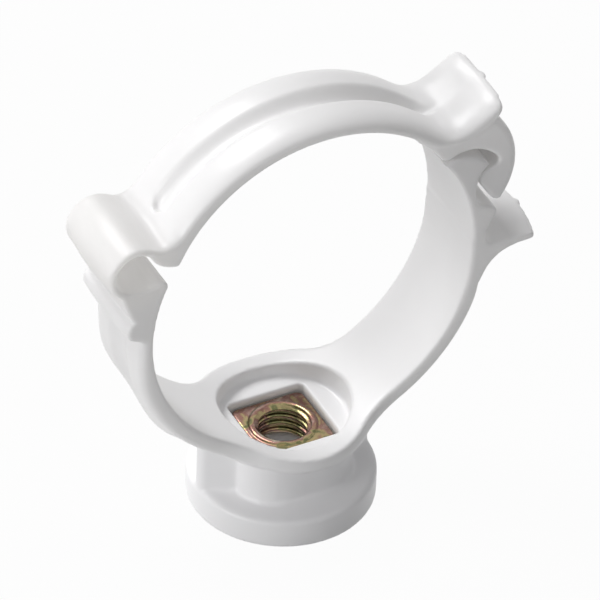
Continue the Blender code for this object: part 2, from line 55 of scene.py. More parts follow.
# Sizes in millimetres, as in the CAD: the pipe space and the band
PIPE_RADIUS = 25.0
SEAT_HEIGHT = 14.7
PIPE_HEIGHT = SEAT_HEIGHT + PIPE_RADIUS
PIPE_SHIFT = 0.37
HALF = 7.28
SIDE_HALF = HALF * 0.999
BAND_THIN = 2.0
BAND_THICK = 2.75
LIP_ANGLE = 156.2
ARM_ANGLE = 364

# Hinge loop: its axis as offsets from the pipe's axis, and where it joins its neighbours
LOOP = (-27.8, 13.6)
LOOP_RADIUS = 3.1
LOOP_WALL = 1.15
LOOP_CROWN = 0.35
LOOP_ROUND = 0.5
LOOP_EDGE = 0.6
LOOP_BASE_ANGLE = 238.0
LOOP_SPAN = (88, 250)
LOOP_STEPS = 90
TOP_CUT = 92.0
BASE_CUT = 240.0
CUT_REACH = 7.0

# Strap
STRAP_RADIUS = 24.2
STRAP_CENTRE = (0.9, 3.5)
STRAP_THICK = 2.75
STRAP_THIN = 2.2
STRAP_INNER_SPAN = (156.5, 54.0)
STRAP_OUTER_SPAN = (145.3, 56.0)
GROOVE_HALF = 2.25
GROOVE_DEPTH = 1.95
TIP_ROUND = 1.2

# Saddle, neck and foot
SADDLE_RADIUS = 12.5
SADDLE_FILLET = 10.0
SADDLE_LIP = SEAT_HEIGHT - 2.3
NECK_HALF_WIDTH = 9.3
WEB_TIP = 11.9
WEB_RADIUS = 1.6
FOOT_RADIUS = 13.6
FOOT_RIM = 4.7
NECK_BASE = FOOT_RIM * 0.8

# Nut and the seat it lies in
NUT_TOP = SEAT_HEIGHT - 3.0
NUT_HALF = 5.7
NUT_HEIGHT = 5.0
NUT_GAP = 0.3
NUT_CORNER = 1.1
COLLAR = 0.3
THREAD_PITCH = 1.25
THREAD_CREST = 3.5
THREAD_ROOT = 4.05
THREAD_FLARE = 0.55
RECESS_RADIUS = 9.5
RECESS_FLOOR = SEAT_HEIGHT - 2.0
ROD_HOLE_RADIUS = 4.4

# Remesh steps
VOXEL = 0.25
BASE_VOXEL = 0.295


def smooth_step(value):
    value = min(1.0, max(0.0, value))
    return value * value * (3 - 2 * value)


def fade(value, start, end):
    """Runs smoothly from 0 at start to 1 at end."""
    return smooth_step((value - start) / (end - start))


def between(span, share):
    return span[0] + (span[1] - span[0]) * share


def arc(cx, cz, radius, start, end, step=3.0):
    """Points about every step degrees along an arc."""
    count = max(2, round(abs(end - start) / step) + 1)
    angles = [radians(start + (end - start) * i / (count - 1)) for i in range(count)]
    return [(cx + radius * cos(a), cz + radius * sin(a)) for a in angles]


def spline(points, count=6):
    """A smooth line through the points, count steps between neighbours."""
    line = []
    before = (2 * points[0][0] - points[1][0], 2 * points[0][1] - points[1][1])
    after = (2 * points[-1][0] - points[-2][0], 2 * points[-1][1] - points[-2][1])
    full = [before] + list(points) + [after]
    for i in range(1, len(full) - 2):
        p0, p1, p2, p3 = full[i - 1:i + 3]
        for k in range(count):
            t = k / count
            line.append(tuple(
                0.5 * (2 * b + (c - a) * t + (2 * a - 5 * b + 4 * c - d) * t * t
                       + (3 * b - a - 3 * c + d) * t ** 3)
                for a, b, c, d in zip(p0, p1, p2, p3)))
    line.append(tuple(points[-1]))
    return line


def resample(line, count):
    """The same line in count evenly spaced points."""
    runs = [0.0]
    for a, b in zip(line, line[1:]):
        runs.append(runs[-1] + hypot(b[0] - a[0], b[1] - a[1]))
    out = []
    k = 0
    for i in range(count):
        want = runs[-1] * i / (count - 1)
        while k < len(runs) - 2 and runs[k + 1] < want:
            k += 1
        share = (want - runs[k]) / max(1e-9, runs[k + 1] - runs[k])
        out.append(tuple(a + (b - a) * share for a, b in zip(line[k], line[k + 1])))
    return out


def ring(x, rise):
    """Offsets from the pipe's axis to the CAD frame."""
    return (PIPE_SHIFT + x, PIPE_HEIGHT + rise)


def ring_spline(points, count):
    return [ring(*p) for p in spline(points, count)]


def around(angle):
    """Point of the pipe space's wall."""
    return ring(PIPE_RADIUS * cos(radians(angle)), PIPE_RADIUS * sin(radians(angle)))


def loop_point(angle, reach):
    return ring(LOOP[0] + reach * cos(radians(angle)), LOOP[1] + reach * sin(radians(angle)))


def strap_point(angle, thickness):
    reach = STRAP_RADIUS + thickness
    return ring(STRAP_CENTRE[0] + reach * cos(radians(angle)),
                STRAP_CENTRE[1] + reach * sin(radians(angle)))


class Shells:
    """Closed shells gathered for one mesh."""

    def __init__(self):
        self.points = []
        self.faces = []

    def loft(self, rings):
        """Skins rings of as many points each and closes both ends."""
        first = len(self.points)
        n = len(rings[0])
        for one in rings:
            self.points += one
        for k in range(len(rings) - 1):
            a, b = first + k * n, first + (k + 1) * n
            for i in range(n):
                j = (i + 1) % n
                self.faces.append((a + i, a + j, b + j, b + i))
        last = first + (len(rings) - 1) * n
        self.faces.append(tuple(range(first + n - 1, first - 1, -1)))
        self.faces.append(tuple(range(last, last + n)))

    def prism(self, outline, half, edge=0.0):
        """Extrudes outline(share, inset), share 1 at the faces and 0 at mid-width.

        The inset grows over the last edge millimetres, for outlines that round their rims.
        """
        insets = [(half - edge + edge * sin(radians(a)), edge * (1 - cos(radians(a))))
                  for a in range(0, 91, 15)]
        right = [(half * k / 4, 0.0) for k in range(1, 4)] + insets
        rows = [(-y, cut_in) for y, cut_in in reversed(right)] + [(0.0, 0.0)] + right
        self.loft([[(x, y, z) for x, z in outline((y / half) ** 2, cut_in)] for y, cut_in in rows])

    def turned(self, profile, steps=120):
        """Turns an (r, z) profile that starts and ends on the axis about the foot's axis."""
        first = len(self.points)
        inner = profile[1:-1]
        n = len(inner)
        for i in range(steps):
            a = 2 * pi * i / steps
            self.points += [(r * cos(a), r * sin(a), z) for r, z in inner]
        low = len(self.points)
        self.points += [(0.0, 0.0, profile[0][1]), (0.0, 0.0, profile[-1][1])]
        for i in range(steps):
            a, b = first + i * n, first + (i + 1) % steps * n
            self.faces.append((low, b, a))
            self.faces.append((low + 1, a + n - 1, b + n - 1))
            for k in range(n - 1):
                self.faces.append((a + k, b + k, b + k + 1, a + k + 1))

    def ball(self, centre, radii, rings=14, steps=20):
        """Ellipsoid."""
        first = len(self.points)
        for k in range(1, rings):
            v = pi * k / rings
            for i in range(steps):
                u = 2 * pi * i / steps
                self.points.append((centre[0] + radii[0] * sin(v) * cos(u),
                                    centre[1] + radii[1] * sin(v) * sin(u),
                                    centre[2] + radii[2] * cos(v)))
        top = len(self.points)
        self.points += [(centre[0], centre[1], centre[2] + radii[2]),
                        (centre[0], centre[1], centre[2] - radii[2])]
        for i in range(steps):
            j = (i + 1) % steps
            self.faces.append((top, first + i, first + j))
            base = first + (rings - 2) * steps
            self.faces.append((top + 1, base + j, base + i))
            for k in range(rings - 2):
                a = first + k * steps
                self.faces.append((a + i, a + steps + i, a + steps + j, a + j))

    def build(self, name):
        """Makes the object, in metres, with its normals outward."""
        mesh = bpy.data.meshes.new(name)
        mesh.from_pydata([(x * MM, y * MM, z * MM) for x, y, z in self.points], [], self.faces)
        bm = bmesh.new()
        bm.from_mesh(mesh)
        bmesh.ops.recalc_face_normals(bm, faces=bm.faces)
        bm.to_mesh(mesh)
        bm.free()
        made = bpy.data.objects.new(name, mesh)
        bpy.context.scene.collection.objects.link(made)
        return made


def settle(made):
    """Applies every modifier of an object."""
    bpy.context.view_layer.update()
    graph = bpy.context.evaluated_depsgraph_get()
    mesh = bpy.data.meshes.new_from_object(made.evaluated_get(graph))
    made.modifiers.clear()
    made.data = mesh


def cut(target, shells, operation="DIFFERENCE"):
    """Takes the shells from the target, or joins them to it."""
    tool = shells.build("tool")
    step = target.modifiers.new("cut", "BOOLEAN")
    step.operation = operation
    step.solver = "EXACT"
    step.object = tool
    settle(target)
    bpy.data.objects.remove(tool)


def soften(made, voxel, rounds=5):
    """Joins overlapping shells and rounds their edges slightly."""
    step = made.modifiers.new("join", "REMESH")
    step.mode = "VOXEL"
    step.voxel_size = voxel * MM
    relax = made.modifiers.new("relax", "SMOOTH")
    relax.factor = 0.5
    relax.iterations = rounds
    settle(made)


def trim(made, cuts):
    """Cuts a mesh by planes and closes it. Each cut is a point and a normal towards the waste."""
    bm = bmesh.new()
    bm.from_mesh(made.data)
    for point, normal in cuts:
        found = bmesh.ops.bisect_plane(
            bm, geom=bm.verts[:] + bm.edges[:] + bm.faces[:], dist=1e-7,
            plane_co=[c * MM for c in point], plane_no=normal, clear_outer=True)
        edges = [e for e in found["geom_cut"] if isinstance(e, bmesh.types.BMEdge)]
        bmesh.ops.triangle_fill(bm, use_beauty=True, edges=edges)
    bm.to_mesh(made.data)
    bm.free()


def keep_largest(made):
    """Removes loose shells, so that only the largest connected one is left."""
    bm = bmesh.new()
    bm.from_mesh(made.data)
    left = set(bm.verts)
    groups = []
    while left:
        seed = left.pop()
        group, todo = [seed], [seed]
        while todo:
            for edge in todo.pop().link_edges:
                for vert in edge.verts:
                    if vert in left:
                        left.discard(vert)
                        group.append(vert)
                        todo.append(vert)
        groups.append(group)
    groups.sort(key=len)
    for group in groups[:-1]:
        bmesh.ops.delete(bm, geom=group, context="VERTS")
    bm.to_mesh(made.data)
    bm.free()


# Moulding

def band_section(half, thickness, edge_width, edge_drop, groove, groove_half, keel, inner_round=0.35):
    """Closed (y, t) section of a ribbed band, t outward from the inner surface."""
    side = [(half - inner_round - (half - inner_round) * k / 6, 0.0) for k in range(5, 0, -1)]
    side += arc(half - inner_round, inner_round, inner_round, -90, 0, 30)
    flat = half - edge_width
    side += [(flat + edge_width * cos(radians(a)), thickness - edge_drop + edge_drop * sin(radians(a)))
             for a in range(0, 91, 10)]
    floor = groove_half * 0.1
    wall = groove_half - floor
    rows = [flat + (groove_half - flat) * k / 4 for k in range(1, 5)]
    rows += [groove_half - wall * k / 8 for k in range(1, 9)]
    rows.append(floor / 2)

    def lift(y):
        sunk = groove * (1 - smooth_step((y - floor) / wall))
        return keel * cos(pi / 2 * min(1.0, y / flat)) ** 2 - sunk

    crown = [(y, thickness + lift(y)) for y in rows]
    middle = [(0.0, thickness + lift(0.0))]
    other = [(-y, t) for y, t in reversed(side + crown)]
    return side + crown + middle + other + [(0.0, 0.0)]


def place_section(section, inner, outward, crown=0.0):
    """Stands a section on its inner point; crown pushes its middle towards the latch."""
    return [(inner[0] + outward[0] * t + crown * (1 - (y / HALF) ** 2), y, inner[1] + outward[1] * t)
            for y, t in section]


def saddle_half_width(arc_length):
    """Half the band's width where it spreads into the round saddle."""
    s = abs(arc_length)
    reach = sqrt((SADDLE_RADIUS + SADDLE_FILLET) ** 2 - (HALF + SADDLE_FILLET) ** 2)
    touch = reach * SADDLE_RADIUS / (SADDLE_RADIUS + SADDLE_FILLET)
    if s <= touch:
        return sqrt(SADDLE_RADIUS ** 2 - s * s)
    if s >= reach:
        return HALF
    return HALF + SADDLE_FILLET - sqrt(SADDLE_FILLET ** 2 - (reach - s) ** 2)


LOWER_EDGE = 1.3
LOWER_GROOVE_HALF = 3.3
LOWER_GROOVE_DEPTH = 0.9
KEEL_HEIGHT = 1.9

# Degrees from the band's lowest point between which it thins and its groove and keel fade
THINNING = (68, 90)
LOWER_GROOVE_START = (55, 66)
LOWER_GROOVE_END = (84, 90)
KEEL_END = (40, 64)


def lower_band(shells):
    """Lower half-ring, plain inside, with two ribs outside that fade into the saddle's keel."""
    rings = []
    steps = 170
    for i in range(steps + 1):
        angle = LIP_ANGLE + (ARM_ANGLE - LIP_ANGLE) * i / steps
        outward = (cos(radians(angle)), sin(radians(angle)))
        away = abs(angle - 270)
        thickness = between((BAND_THICK, BAND_THIN), fade(away, *THINNING))
        groove = (LOWER_GROOVE_DEPTH * fade(away, *LOWER_GROOVE_START)
                  * (1 - fade(away, *LOWER_GROOVE_END)))
        keel = KEEL_HEIGHT * (1 - fade(away, *KEEL_END))
        half = saddle_half_width(PIPE_RADIUS * radians(angle - 270) + PIPE_SHIFT)
        section = band_section(half, thickness, LOWER_EDGE, LOWER_EDGE, groove, LOWER_GROOVE_HALF, keel)
        rings.append(place_section(section, around(angle), outward))
    shells.loft(rings)


def loop_rings():
    """Thin wall of the hinge loop."""
    rings = []
    start, end = LOOP_SPAN
    for i in range(LOOP_STEPS):
        angle = start + (end - start) * i / (LOOP_STEPS - 1)
        outward = (cos(radians(angle)), sin(radians(angle)))
        inner = loop_point(angle, LOOP_RADIUS)
        section = band_section(HALF, LOOP_WALL, LOOP_EDGE, LOOP_EDGE, 0.0, GROOVE_HALF,
                               LOOP_CROWN, LOOP_ROUND)
        rings.append(place_section(section, inner, outward))
    return rings


LIP_TOP = [(-23.1, 10.62), (-24.0, 10.88), (-25.0, 10.68), (-26.0, 10.44), (-27.0, 10.42)]
LIP_BACK = [(-30.05, 10.0), (-29.55, 8.4), (-28.95, 6.7), (-28.35, 5.4)]
STOP_TOP = 5.0
STOP_BOTTOM = 1.8
STOP_REACH = 2.0
STOP_ROUND = 1.2
STOP_BULGE = 0.35


def loop_seat(share, inset):
    """Lip, floor of the hinge loop and the stop tab under it."""
    proud = STOP_BULGE * (1 - share)
    line = [around(LIP_ANGLE)]
    line += ring_spline(LIP_TOP, 3)
    line += arc(*ring(*LOOP), LOOP_RADIUS, 262, LOOP_BASE_ANGLE, 4)
    edge_x = PIPE_SHIFT - PIPE_RADIUS - BAND_THIN - STOP_REACH - proud
    top, bottom, r = PIPE_HEIGHT + STOP_TOP, PIPE_HEIGHT + STOP_BOTTOM, STOP_ROUND
    line += ring_spline(LIP_BACK, 3)
    line += arc(edge_x + r, top - r, r, 80, 180, 10)
    line += arc(edge_x + r, bottom + r, r, 180, 260, 10)
    line.append((PIPE_SHIFT - PIPE_RADIUS - BAND_THIN / 2, bottom - BAND_THIN / 2))
    line += [around(angle) for angle in (176, 173, 170, 167, 164, 161)]
    return line


ARM_INNER = [(24.75, -3.4), (25.02, 0.0), (25.08, 3.0), (24.72, 6.2), (24.0, 9.2), (22.95, 12.1),
             (21.45, 14.9), (20.2, 16.65), (18.75, 18.35)]
NOSE_TOP = [(18.75, 18.35), (19.35, 17.6), (19.95, 17.12), (20.7, 17.05), (21.6, 17.35), (23.0, 17.3),
            (24.4, 17.0), (25.6, 16.4), (26.5, 15.7), (27.25, 14.95)]
NOSE_UNDER = [(27.2, 14.75), (26.5, 14.3), (25.9, 13.6), (25.5, 12.6), (25.28, 11.2), (25.28, 9.7),
              (25.6, 8.6), (26.3, 7.9), (27.2, 7.4), (28.1, 7.0), (28.65, 6.4), (28.6, 5.7),
              (28.15, 4.8), (27.55, 3.7), (27.2, 2.5), (27.2, 1.3), (27.7, 0.55), (28.7, 0.25)]
TAB_TIP_X = 34.9
TAB_Z = -0.35
TAB_HALF = 0.55
TAB_BULGE = 1.2
TAB_UNDER = [(33.0, -1.0), (31.4, -1.15), (29.7, -1.75), (28.2, -2.9), (27.2, -4.4), (26.5, -6.0)]


def latch_arm(share, inset):
    """Arm with the latch nose on top, the shelf below it and the thumb tab."""
    proud = TAB_BULGE * (1 - share)
    line = ring_spline(ARM_INNER, 5)[:-1]
    line += ring_spline(NOSE_TOP, 4)
    line += ring_spline(NOSE_UNDER, 4)
    tip_x, tip_z = ring(TAB_TIP_X - TAB_HALF, TAB_Z)
    line.append((tip_x - 3.0, tip_z + TAB_HALF * 0.85))
    line += arc(tip_x + proud, tip_z, TAB_HALF, 90, -90, 15)
    line += ring_spline(TAB_UNDER, 4)
    return line


def saddle():
    """Round pad between the band and the neck."""
    shells = Shells()
    edge = SADDLE_RADIUS - 0.35
    top, base, r = SEAT_HEIGHT + 0.8, SADDLE_LIP - 1.4, 1.2
    profile = [(0.0, top), (edge, top)]
    profile += arc(edge - r, SADDLE_LIP + r, r, 0, -60, 8)
    profile += spline([(SADDLE_RADIUS - 1.6, SADDLE_LIP - 0.14), (10.6, SADDLE_LIP - 0.35),
                       (NECK_HALF_WIDTH, base)], 4)
    profile.append((0.0, base))
    shells.turned(profile)
    return shells


NECK_QUARTER = [(8.9, 3.6), (8.93, 4.3), (8.78, 5.0), (8.4, 5.85), (7.85, 6.65), (7.15, 7.4),
                (6.25, 8.05), (5.2, 8.55), (4.0, 8.9), (2.7, 9.12), (1.3, 9.22)]


def neck():
    """Upright neck of the same rounded outline at every height."""
    shells = Shells()
    half = NECK_QUARTER + [(-x, y) for x, y in reversed(NECK_QUARTER)]
    outline = half + [(x, -y) for x, y in reversed(half)]
    shells.loft([[(x, y, z) for x, y in outline] for z in (NECK_BASE, SADDLE_LIP + 0.6)])
    return shells


def web(side):
    """Tapered web at one end of the neck, which carries the band down to the foot's rim."""
    shells = Shells()
    plan = [(side * (WEB_TIP + WEB_RADIUS * cos(radians(a))), WEB_RADIUS * sin(radians(a)))
            for a in range(-62, 63, 10)]
    plan = [(side * 6.0, -4.1), (side * 9.0, -3.5)] + plan + [(side * 9.0, 3.5), (side * 6.0, 4.1)]
    tops = [PIPE_HEIGHT - sqrt((PIPE_RADIUS + 1.2) ** 2 - (x - PIPE_SHIFT) ** 2) for x, y in plan]
    shells.loft([[(x, y, NECK_BASE) for x, y in plan], [(x, y, z) for (x, y), z in zip(plan, tops)]])
    return shells


def foot():
    """Round foot with a low cone up to the neck."""
    shells = Shells()
    low_r, top_r = 0.5, 0.6
    profile = [(0.0, 0.0)]
    profile += arc(FOOT_RADIUS - low_r, low_r, low_r, -90, 0, 15)
    profile += arc(FOOT_RADIUS - top_r, FOOT_RIM - top_r, top_r, 0, 70, 10)
    profile += spline([(FOOT_RADIUS - 1.2, FOOT_RIM + 0.08), (11.4, FOOT_RIM + 0.2),
                       (10.2, FOOT_RIM + 0.42), (NECK_HALF_WIDTH - 0.2, FOOT_RIM + 0.9)], 4)
    profile.append((0.0, FOOT_RIM + 0.9))
    shells.turned(profile)
    return shells


HEAD_INNER = [(-25.75, 15.85), (-25.25, 15.0), (-24.55, 14.2), (-23.7, 13.6), (-22.7, 13.2),
              (-21.75, 12.98)]
HEAD_OUTER = [(-25.05, 16.92), (-24.3, 16.7), (-23.6, 16.72), (-22.95, 17.02), (-22.35, 17.58),
              (-21.85, 18.2)]
LEVER_TOP = [(16.55, 24.76), (17.9, 23.68), (19.2, 22.68), (20.4, 21.98), (21.6, 21.78), (23.0, 22.1),
             (24.6, 22.95), (26.0, 23.85), (27.2, 24.7), (28.3, 25.2), (29.1, 25.15)]
LEVER_LOW = [(15.9, 22.49), (17.0, 21.57), (18.2, 20.85), (19.6, 20.35), (21.2, 20.15), (22.8, 20.2),
             (24.6, 20.6), (26.4, 21.5), (27.8, 22.6), (28.8, 23.7)]
LEVER_TIP_X = 29.45


def strap_lines():
    """Pairs of inner and outer points of the strap from the hinge loop to the lever's tip."""
    inner = [loop_point(a, LOOP_RADIUS) for a in (90, 80, 70, 60, 52)]
    inner += ring_spline(HEAD_INNER, 3)
    outer = [loop_point(a, LOOP_RADIUS + LOOP_WALL) for a in (90, 80, 70, 60)]
    outer += ring_spline(HEAD_OUTER, 4)
    pairs = list(zip(resample(inner, 22), resample(outer, 22)))
    steps = 84
    for i in range(steps):
        share = i / steps
        thickness = between((STRAP_THICK, STRAP_THIN), share)
        low = strap_point(between(STRAP_INNER_SPAN, share), 0)
        high = strap_point(between(STRAP_OUTER_SPAN, share), thickness)
        pairs.append((low, high))
    low = resample(ring_spline(LEVER_LOW, 5), 34)
    high = resample(ring_spline(LEVER_TOP, 5), 34)
    return pairs + list(zip(low, high))


DISH_DEPTH = 0.38
TIP_CROWN = 0.25

# Angles about the pipe's axis between which the strap's ribs and groove come in and fade out
RIBS_START = (146.5, 137)
GROOVE_START = (141.2, 136.4)
GROOVE_END = (43.5, 51.0)

# Places towards the latch between which the lever, its dish and its tip's crown come and go
LEVER_START = (16.0, 21.5)
DISH_START = (19.0, 23.5)
DISH_END = (29.3, 26.5)
CROWN_START = (27.0, 29.4)


def strap_shell(shells):
    """Strap whose two ribs and groove start after the loop and end in the dished lever."""
    rings = []
    tip = ring(LEVER_TIP_X, 0)[0]
    for inner, outer in strap_lines():
        dx, dz = outer[0] - inner[0], outer[1] - inner[1]
        thickness = hypot(dx, dz)
        x, z = outer[0] - PIPE_SHIFT, outer[1] - PIPE_HEIGHT
        angle = degrees(atan2(z, x))
        ribbed = fade(angle, *RIBS_START)
        lever_share = fade(x, *LEVER_START)
        width = LOOP_EDGE + 2.8 * ribbed - 0.2 * lever_share
        drop = min(LOOP_EDGE + 1.3 * ribbed - 0.4 * lever_share, thickness * 0.75)
        dish = DISH_DEPTH * fade(x, *DISH_START) * fade(x, *DISH_END)
        ends = fade(angle, *GROOVE_END) * fade(angle, *GROOVE_START)
        half_groove = GROOVE_HALF * (0.4 + 0.6 * ends)
        into = min(TIP_ROUND, max(0.0, outer[0] - (tip - TIP_ROUND)))
        half = HALF - TIP_ROUND + sqrt(max(0.0, TIP_ROUND ** 2 - into * into))
        crown = TIP_CROWN * fade(x, *CROWN_START)
        section = band_section(half, thickness, width, drop, GROOVE_DEPTH * ends, half_groove,
                               LOOP_CROWN * (1 - ribbed) - dish, LOOP_ROUND - 0.15 * ribbed)
        rings.append(place_section(section, inner, (dx / thickness, dz / thickness), crown))
    shells.loft(rings)


HOOK_ROOT = [(15.9, 22.0), (17.0, 21.15), (18.1, 20.15), (18.65, 19.25), (19.1, 18.6), (19.6, 17.95)]
HOOK_INNER = [(20.15, 17.5), (20.7, 17.38), (21.3, 17.6), (22.2, 18.02), (23.6, 18.2), (25.1, 18.0),
              (26.3, 17.5), (27.4, 16.75), (28.25, 15.95), (28.75, 15.3), (28.82, 14.75), (28.4, 14.3),
              (27.4, 13.9), (26.5, 13.55), (25.95, 13.0), (25.78, 12.3), (25.95, 11.5), (26.4, 10.7),
              (27.0, 9.75), (27.6, 8.85), (28.05, 8.3)]
HOOK_TOE = (28.85, 8.6)
TOE_ROUND = 0.7
HOOK_CENTRE = (20.25, 14.4)
HOOK_RADIUS = 11.4
HOOK_CROWN = [(26.2, 22.3), (22.0, 20.6), (18.0, 21.25)]


def hook(share, inset):
    """Snap hook that closes over the latch nose."""
    line = [strap_point(54, 0.2), strap_point(54, 0)]
    line += [ring(*p) for p in HOOK_ROOT]
    line += ring_spline(HOOK_INNER, 4)
    line += arc(*ring(*HOOK_TOE), TOE_ROUND, 230, 330, 14)
    line += arc(*ring(*HOOK_CENTRE), HOOK_RADIUS - inset, -25, 44, 3)
    return line + [ring(*p) for p in HOOK_CROWN]


def gate_bump(shells, x, rise, y, size):
    """Small raised mark where the moulding was fed."""
    cx, cz = ring(x, rise)
    shells.ball((cx, y, cz), size)


def cylinder(radius, low, top):
    """Upright cylinder on the foot's axis."""
    shells = Shells()
    shells.turned([(0.0, low), (radius, low), (radius, top), (0.0, top)])
    return shells


def cut_nut_seat(made):
    """Round recess, square pocket and rod hole on the foot's axis."""
    pocket_floor = NUT_TOP - NUT_HEIGHT - NUT_GAP
    cut(made, cylinder(RECESS_RADIUS, RECESS_FLOOR, RECESS_FLOOR + 6))
    half = NUT_HALF + NUT_GAP
    corner = 0.55
    outline = []
    for quarter in range(4):
        cx = (half - corner) * (1 if quarter in (0, 3) else -1)
        cy = (half - corner) * (1 if quarter in (0, 1) else -1)
        outline += arc(cx, cy, corner, 90 * quarter, 90 * quarter + 90, 15)
    pocket = Shells()
    pocket.loft([[(x, y, z) for x, y in outline] for z in (pocket_floor, RECESS_FLOOR + 3)])
    cut(made, pocket)
    cut(made, cylinder(ROD_HOLE_RADIUS, -3.0, pocket_floor + 1))


def lower_moulding():
    """Base with the whole hinge loop and the strap's first stretch."""
    band = Shells()
    lower_band(band)
    made = band.build("clip_moulding")
    for shells in (saddle(), foot(), neck(), web(-1), web(1)):
        cut(made, shells, "UNION")
    pipe = Shells()
    outline = arc(*ring(0, 0), PIPE_RADIUS, 230, 310, 1) + [ring(16.1, -10.0), ring(-16.1, -10.0)]
    pipe.loft([[(x, y, z) for x, z in outline] for y in (-20, 20)])
    cut(made, pipe)
    cut_nut_seat(made)

    rest = Shells()
    rest.prism(loop_seat, SIDE_HALF)
    rest.prism(latch_arm, SIDE_HALF)
    rest.loft(loop_rings())
    gate_bump(rest, TAB_TIP_X + 1.1, TAB_Z + 0.15, 0.3, (0.5, 0.75, 0.45))
    start = Shells()
    strap_shell(start)
    stub = start.build("stub")
    trim(stub, [((PIPE_SHIFT - 14.0, 0, 0), (1, 0, 0))])
    join([made, rest.build("rest"), stub])
    soften(made, BASE_VOXEL)
    return made


def upper_moulding():
    """Strap with hook and lever, the whole hinge loop and the base's first stretch."""
    shells = Shells()
    strap_shell(shells)
    shells.prism(hook, HALF - 0.3, 1.0)
    shells.loft(loop_rings())
    shells.prism(loop_seat, SIDE_HALF)
    gate_bump(shells, LEVER_TIP_X - 0.05, 24.6, 0.3, (0.45, 0.75, 0.55))
    made = shells.build("strap_moulding")
    soften(made, VOXEL)
    return made


def join(objects):
    """Adds the meshes of the later objects to the first."""
    bm = bmesh.new()
    for item in objects:
        bm.from_mesh(item.data)
    bm.to_mesh(objects[0].data)
    bm.free()
    for item in objects[1:]:
        bpy.data.objects.remove(item)


def copy_of(source, name):
    made = bpy.data.objects.new(name, source.data.copy())
    bpy.context.scene.collection.objects.link(made)
    return made


def cut_plane(angle, side):
    """Plane through the loop's axis at this angle, waste on the given side of it."""
    x, z = ring(*LOOP)
    turn = radians(angle)
    return (x, 0, z), (-sin(turn) * side, 0, cos(turn) * side)


def split_moulding():
    """Base, hinge loop and strap, which meet flush at the loop's two cuts."""
    base = lower_moulding()
    strap = upper_moulding()
    loop = copy_of(base, "hinge_loop_moulding")
    x, z = ring(*LOOP)
    trim(loop, [((x + 0.2, 0, z), (1, 0, 0)), cut_plane(TOP_CUT, -1), cut_plane(BASE_CUT, 1)])
    keep_largest(loop)
    remove_loop(base)
    remove_loop(strap)
    return base, loop, strap


def about_loop(face):
    """Angle and distance of a face from the loop's axis."""
    x, z = ring(*LOOP)
    c = face.calc_center_median() / MM
    return degrees(atan2(c.z - z, c.x - x)) % 360, hypot(c.x - x, c.z - z)


def remove_loop(made):
    """Opens the closed hinge along both cuts and keeps the larger side."""
    bm = bmesh.new()
    bm.from_mesh(made.data)
    for cut_angle in (TOP_CUT, BASE_CUT):
        point, normal = cut_plane(cut_angle, 1)
        near = []
        for face in bm.faces:
            angle, reach = about_loop(face)
            if abs(angle - cut_angle) < 30 and reach < CUT_REACH:
                near.append(face)
        verts = list({v for f in near for v in f.verts})
        edges = list({e for f in near for e in f.edges})
        bmesh.ops.bisect_plane(bm, geom=verts + edges + near, dist=1e-7,
                               plane_co=[c * MM for c in point], plane_no=normal)
    waste = []
    for face in bm.faces:
        angle, reach = about_loop(face)
        if TOP_CUT < angle < BASE_CUT and reach < LOOP_RADIUS + LOOP_WALL + 1.0:
            waste.append(face)
    bmesh.ops.delete(bm, geom=waste, context="FACES")
    edges = [e for e in bm.edges if e.is_boundary]
    bmesh.ops.triangle_fill(bm, use_beauty=True, edges=edges)
    bm.to_mesh(made.data)
    bm.free()
    keep_largest(made)


# Nut

def square_reach(angle, inset):
    """Distance from the nut's axis to its rounded square at this angle."""
    h, r = NUT_HALF - inset, max(0.05, NUT_CORNER - inset * 0.4)
    c, s = abs(cos(angle)), abs(sin(angle))
    reach = h / max(c, s)
    q = h - r
    if reach * c > q and reach * s > q:
        b = (c + s) * q
        return b + sqrt(max(0.0, b * b - (2 * q * q - r * r)))
    return reach


def thread_reach(angle, z, low, rim):
    """Distance from the nut's axis to its thread, flared at both mouths."""
    phase = ((z - low) / THREAD_PITCH - angle / (2 * pi)) % 1.0
    tooth = smooth_step((abs(phase - 0.5) * 2 - 0.22) / 0.62)
    cut_in = THREAD_CREST + (THREAD_ROOT - THREAD_CREST) * tooth
    flare = max(0.0, THREAD_FLARE - (rim - z)) + max(0.0, THREAD_FLARE - (z - low))
    return max(cut_in, THREAD_CREST + flare * 1.3)


def nut_shell():
    """Square nut with rounded corners, a raised collar and an M8 thread cut in its bore."""
    low, top = NUT_TOP - NUT_HEIGHT, NUT_TOP
    rim = top + COLLAR
    steps = 144
    turns = [2 * pi * i / steps for i in range(steps)]
    rings = []
    count = 72
    for k in range(count + 1):
        z = low + (rim - low) * k / count
        rings.append([(thread_reach(a, z, low, rim), z) for a in turns])
    for r, z in ((4.62, rim), (4.8, rim - 0.05), (4.92, rim - 0.16), (5.02, top + 0.02), (5.12, top)):
        rings.append([(r, z) for a in turns])
    for inset, z in ((0.35, top), (0.16, top - 0.05), (0.04, top - 0.17), (0.0, top - 0.35),
                     (0.0, low + 0.35), (0.04, low + 0.17), (0.16, low + 0.05), (0.35, low)):
        rings.append([(square_reach(a, inset), z) for a in turns])
    shells = Shells()
    total = len(rings)
    for k, one in enumerate(rings):
        shells.points += [(r * cos(a), r * sin(a), z) for (r, z), a in zip(one, turns)]
        a, b = k * steps, (k + 1) % total * steps
        for i in range(steps):
            j = (i + 1) % steps
            shells.faces.append((a + i, a + j, b + j, b + i))
    return shells.build("threaded_nut")


# Materials

def node(tree, kind, **values):
    """New node; each value goes to the input of that name, or else to the property."""
    made = tree.nodes.new(kind)
    for key, value in values.items():
        if key in made.inputs:
            made.inputs[key].default_value = value
        else:
            setattr(made, key, value)
    return made


